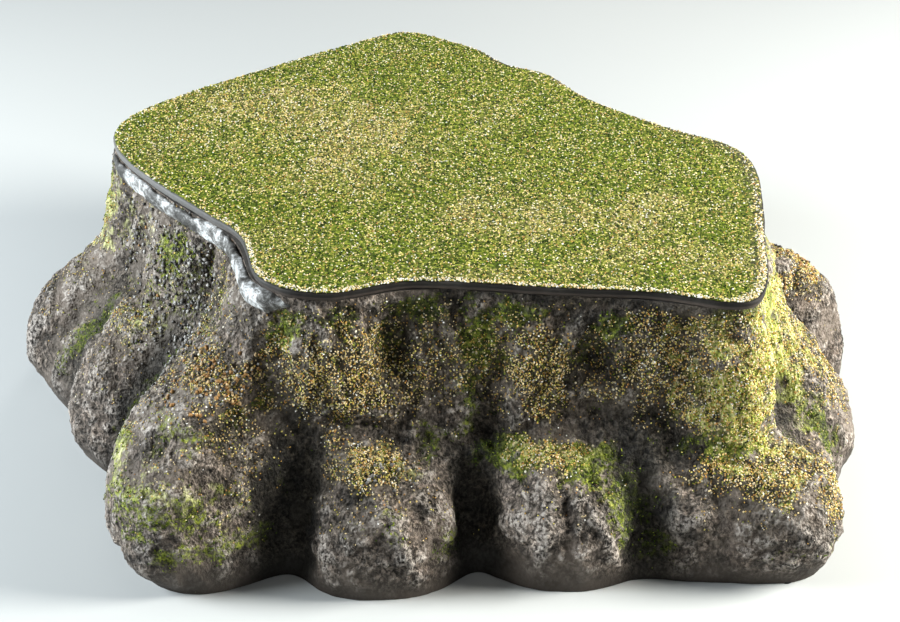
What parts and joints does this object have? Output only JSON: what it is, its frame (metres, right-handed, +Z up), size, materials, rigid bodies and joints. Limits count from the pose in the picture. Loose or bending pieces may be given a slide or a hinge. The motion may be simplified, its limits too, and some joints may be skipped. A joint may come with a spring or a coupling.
{
  "type": "rock cave ornament",
  "caption": "Hollow rock ornament of cast boulders with a flat sand and turf plateau that lifts off, and an arched cave mouth at the rear.",
  "frame": {"origin": "on the ground, at the middle of the object's box", "axes": "+X to the right along the long flat front, +Y to the rear, where the cave mouth is, +Z up"},
  "size_m": [0.5126, 0.3939, 0.155],
  "materials": {
    "cast_rock": "painted cast resin, rough, with sand and moss",
    "corbel_resin": "bare cast resin",
    "rubber_pad": "matte",
    "peg_resin": "satin",
    "resin_bead": "satin, whitish",
    "plate_resin": "smooth, satin",
    "sand_turf": "glued sand grains with green turf"
  },
  "bodies": {
    "ring": {"left_rear_boulder": "cast_rock", "left_boulder": "cast_rock", "front_left_boulder": "cast_rock", "centre_left_boulder": "cast_rock", "front_centre_boulder": "cast_rock", "front_right_boulder": "cast_rock", "right_boulder": "cast_rock", "right_rear_boulder": "cast_rock", "rear_right_boulder": "cast_rock", "mouth_right_boulder": "cast_rock", "cave_arch": "cast_rock", "mouth_left_boulder": "cast_rock", "rear_left_boulder": "cast_rock", "rim_bead": "resin_bead", "corbel_rear_right": "corbel_resin", "corbel_rear_left": "corbel_resin", "corbel_front_left": "corbel_resin", "corbel_front_right": "corbel_resin", "foot_pad_1": "rubber_pad", "foot_pad_2": "rubber_pad", "foot_pad_3": "rubber_pad", "foot_pad_4": "rubber_pad", "foot_pad_5": "rubber_pad", "foot_pad_6": "rubber_pad", "foot_pad_7": "rubber_pad", "foot_pad_8": "rubber_pad"},
    "lid": {"plateau_plate": "plate_resin", "turf_coat": "sand_turf", "peg_rear_right": "peg_resin", "peg_rear_left": "peg_resin", "peg_front_left": "peg_resin", "peg_front_right": "peg_resin"}
  },
  "joints": [
    {"name": "lid_lift", "type": "slide", "parent": "ring", "child": "lid", "axis": [0, 0, 1], "range_m": [0, 0.15]}
  ]
}
